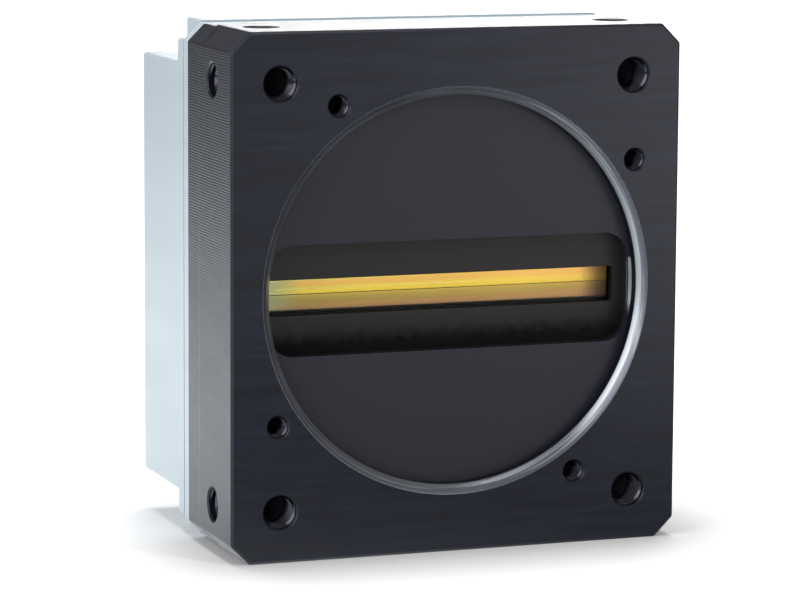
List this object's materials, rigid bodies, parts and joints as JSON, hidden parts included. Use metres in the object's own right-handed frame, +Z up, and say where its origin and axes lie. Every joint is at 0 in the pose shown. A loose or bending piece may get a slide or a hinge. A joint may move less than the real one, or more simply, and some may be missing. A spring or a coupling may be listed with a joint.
{
  "type": "machine vision camera",
  "caption": "Line-scan machine vision camera: black front module with lens recess and a long sensor slot, silver rear housing with connectors on its back.",
  "frame": {"origin": "centre of the bounding box's bottom face", "axes": "+Z up, -Y out of the front face along the optical axis, +X to the right seen from the front"},
  "size_m": [0.056, 0.042, 0.062],
  "materials": {
    "black_anodised": "fine matt black anodised",
    "silver_anodised": "satin silver anodised",
    "cover_glass": "polished, clear",
    "dark_ceramic": "matt dark ceramic",
    "sensor_silicon": "polished, gold coloured",
    "gold_plate": "gold plated",
    "circuit_board": "satin green lacquer",
    "chip_black": "moulded matt black",
    "brass_nickel": "nickel plated",
    "steel": "bright steel",
    "pad_grey": "soft, matt",
    "capacitor_tan": "satin tan",
    "link_plastic": "cream moulding",
    "power_grey": "satin dark grey",
    "tin_plate": "bright tin plate",
    "insulator_black": "satin black moulding",
    "nickel": "satin nickel",
    "guide_clear": "clear",
    "light_chip": "clear epoxy"
  },
  "bodies": {
    "root": {"front_module": "black_anodised", "sensor_glass": "cover_glass", "sensor_package": "dark_ceramic", "sensor_die": "sensor_silicon", "sensor_pins": "gold_plate", "sensor_board": "circuit_board", "converter_chips": "chip_black", "standoffs": "brass_nickel", "stack_screws": "steel", "processor_board": "circuit_board", "logic_chip": "chip_black", "thermal_pad": "pad_grey", "memory_chips": "chip_black", "processor_parts": "capacitor_tan", "front_link_plug": "link_plastic", "front_link_socket": "link_plastic", "back_link_plug": "link_plastic", "back_link_socket": "link_plastic", "interface_board": "circuit_board", "interface_screws": "steel", "power_parts": "power_grey", "clamp_frame": "silver_anodised", "rear_housing": "silver_anodised", "housing_screws": "steel", "jack_shield": "tin_plate", "jack_insert": "insulator_black", "jack_contacts": "gold_plate", "power_shell": "nickel", "power_insert": "insulator_black", "power_pins": "gold_plate", "power_nut": "nickel", "aux_shell": "nickel", "aux_insert": "insulator_black", "aux_pins": "gold_plate", "aux_nut": "nickel", "light_guide": "guide_clear", "status_light": "light_chip"}
  },
  "joints": []
}
